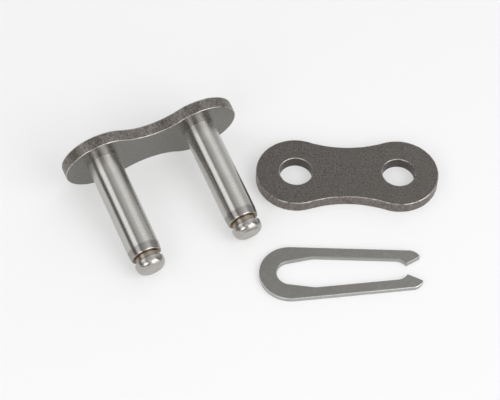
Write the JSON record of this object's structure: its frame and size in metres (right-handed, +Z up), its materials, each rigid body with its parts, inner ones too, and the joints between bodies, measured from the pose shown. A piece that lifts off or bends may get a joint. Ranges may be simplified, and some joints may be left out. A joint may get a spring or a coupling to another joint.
{
  "type": "chain connecting link",
  "caption": "Roller chain connecting link laid out in its pieces: outer plate with riveted pins, loose cover plate with holes, and flat spring clip.",
  "frame": {"origin": "on the surface that the pieces lie on, below the middle of the whole set's box", "axes": "+Z up from the surface; +X along the cover plate's length and across the set, from the pin link towards the cover plate; +Y away from the clip, towards the cover plate"},
  "size_m": [0.0692, 0.0378, 0.0147],
  "materials": {
    "plate_steel": "heat-treated and tumbled dark steel, slightly oily, fine mottle and a few rust specks",
    "pin_steel": "case-hardened and ground bright steel",
    "clip_steel": "stamped spring steel, satin grey, with brighter sheared edges"
  },
  "bodies": {
    "root": {"pin_plate": "plate_steel", "cover_plate": "plate_steel", "pin_left": "pin_steel", "pin_right": "pin_steel", "spring_clip": "clip_steel"}
  },
  "joints": []
}
